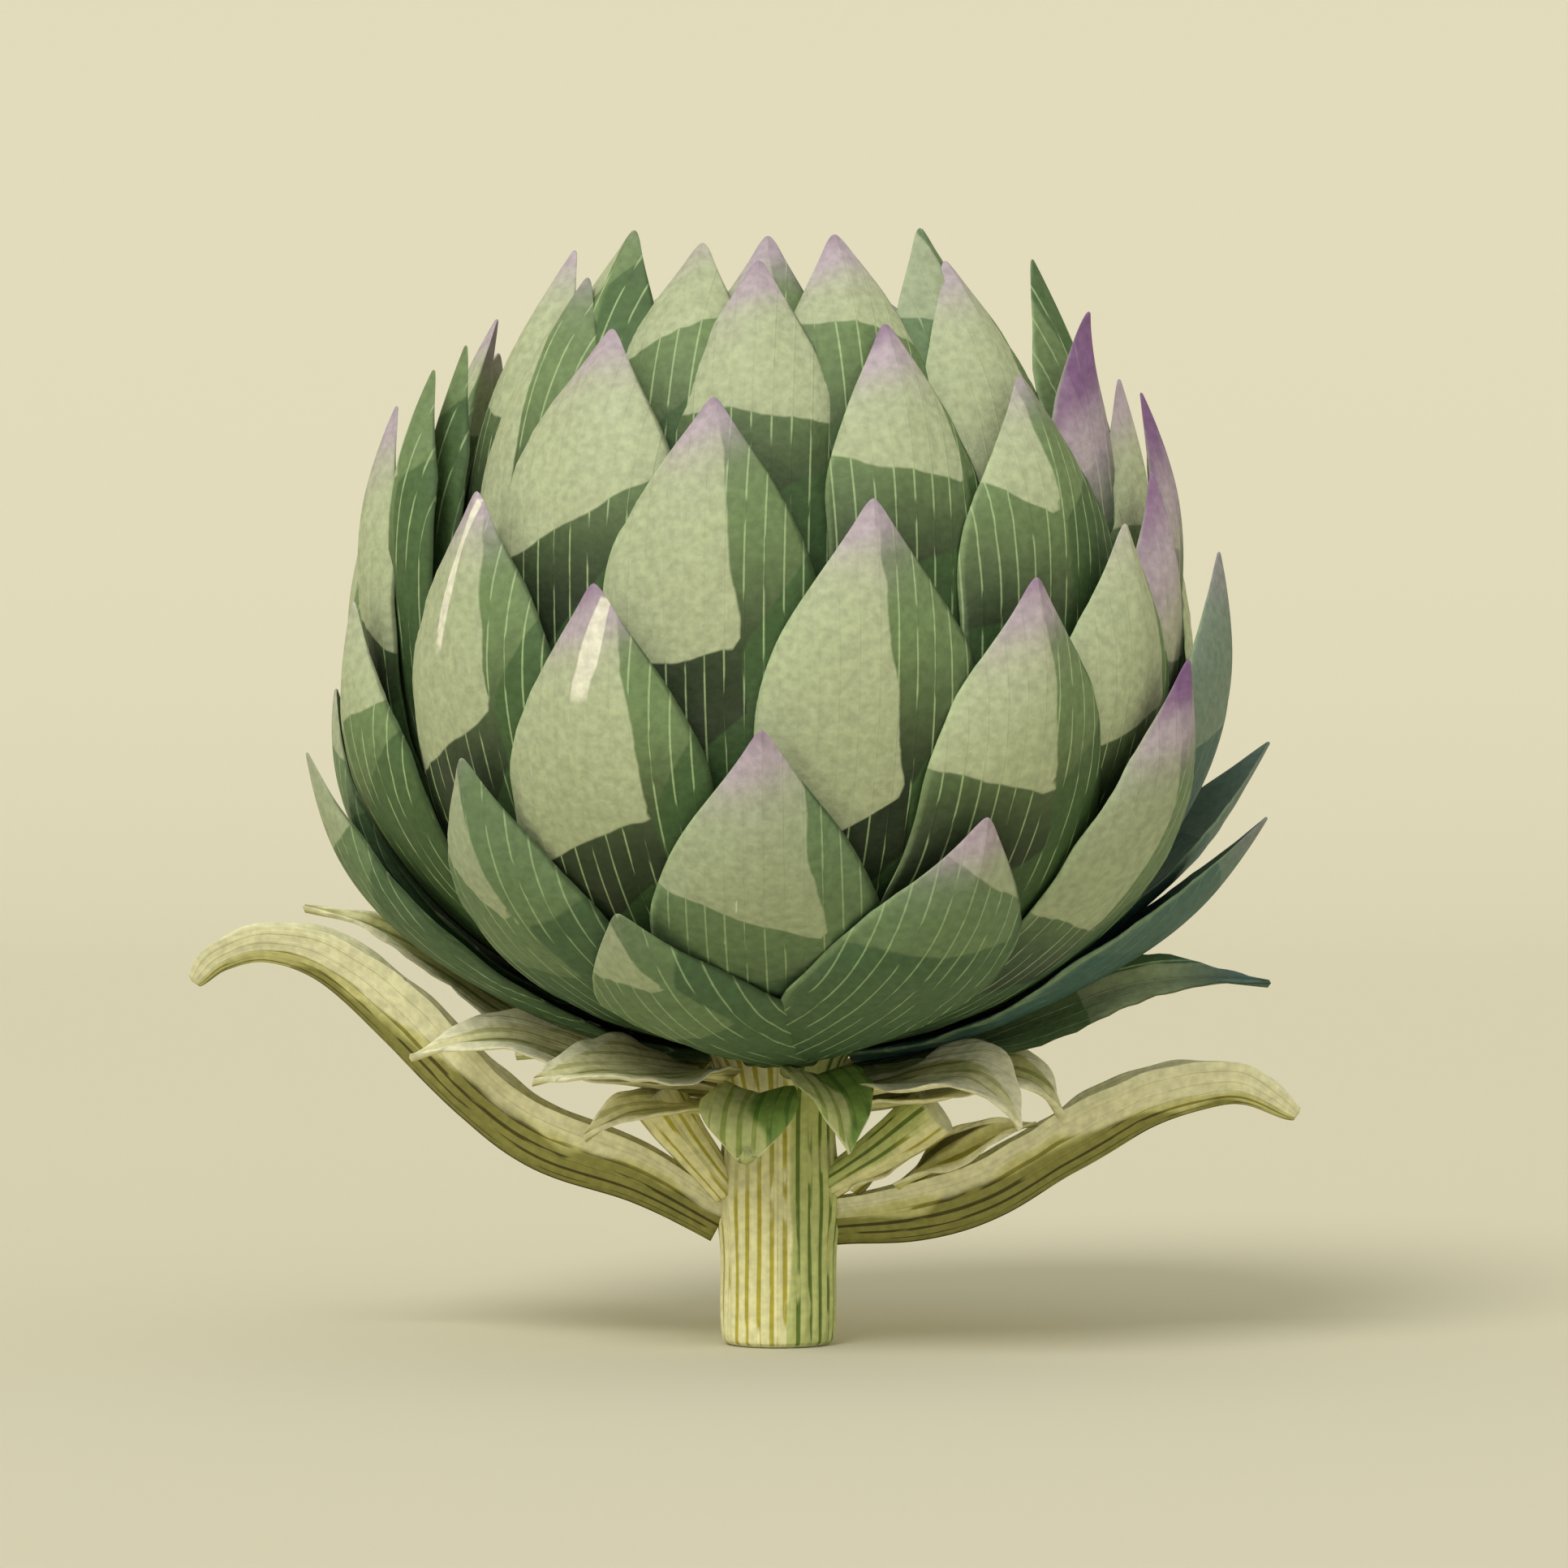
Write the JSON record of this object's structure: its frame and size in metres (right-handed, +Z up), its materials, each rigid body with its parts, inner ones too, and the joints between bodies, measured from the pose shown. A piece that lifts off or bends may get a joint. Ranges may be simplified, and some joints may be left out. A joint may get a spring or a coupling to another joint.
{
  "type": "artichoke",
  "caption": "Globe artichoke: overlapping pointed fleshy bracts in a closed head, small collar leaves under it and a short cut stem with two long narrow leaves.",
  "frame": {"origin": "centre of the flat cut end of the stem", "axes": "+Z up along the stem towards the closed tip of the head, -Y towards the side that is seen from the front, +X to that side's right"},
  "size_m": [0.1368, 0.1079, 0.137],
  "materials": {
    "bract": "grey-green plant skin with a dull bloom, paler on the upper left and lilac at some tips",
    "bud": "pale grey-green plant skin of the young inner bracts",
    "collar": "olive, drying leaf skin with paler edges",
    "stem_leaf": "ribbed olive-cream leaf stalk",
    "stem": "ribbed yellow-green stem with a pale cut end"
  },
  "bodies": {
    "root": {"stem_and_heart": "stem", "inner_bud": "bud", "bract_1_1": "bract", "bract_1_2": "bract", "bract_1_3": "bract", "bract_1_4": "bract", "bract_1_5": "bract", "bract_1_6": "bract", "bract_1_7": "bract", "bract_2_1": "bract", "bract_2_2": "bract", "bract_2_3": "bract", "bract_2_4": "bract", "bract_2_5": "bract", "bract_2_6": "bract", "bract_2_7": "bract", "bract_3_1": "bract", "bract_3_2": "bract", "bract_3_3": "bract", "bract_3_4": "bract", "bract_3_5": "bract", "bract_3_6": "bract", "bract_3_7": "bract", "bract_4_1": "bract", "bract_4_2": "bract", "bract_4_3": "bract", "bract_4_4": "bract", "bract_4_5": "bract", "bract_4_6": "bract", "bract_4_7": "bract", "bract_5_1": "bract", "bract_5_2": "bract", "bract_5_3": "bract", "bract_5_4": "bract", "bract_5_5": "bract", "bract_5_6": "bract", "bract_6_1": "bract", "bract_6_2": "bract", "bract_6_3": "bract", "bract_6_4": "bract", "bract_6_5": "bract", "bract_6_6": "bract", "bract_6_7": "bract", "collar_leaf_1": "collar", "collar_leaf_2": "collar", "collar_leaf_3": "collar", "collar_leaf_4": "collar", "collar_leaf_5": "collar", "collar_leaf_6": "collar", "collar_leaf_7": "collar", "collar_leaf_8": "collar", "collar_leaf_9": "collar", "collar_leaf_10": "collar", "collar_leaf_11": "collar", "collar_leaf_12": "collar", "collar_leaf_13": "collar", "left_stem_leaf": "stem_leaf", "right_stem_leaf": "stem_leaf", "left_cut_stalk": "stem_leaf", "right_cut_stalk": "stem_leaf"}
  },
  "joints": []
}
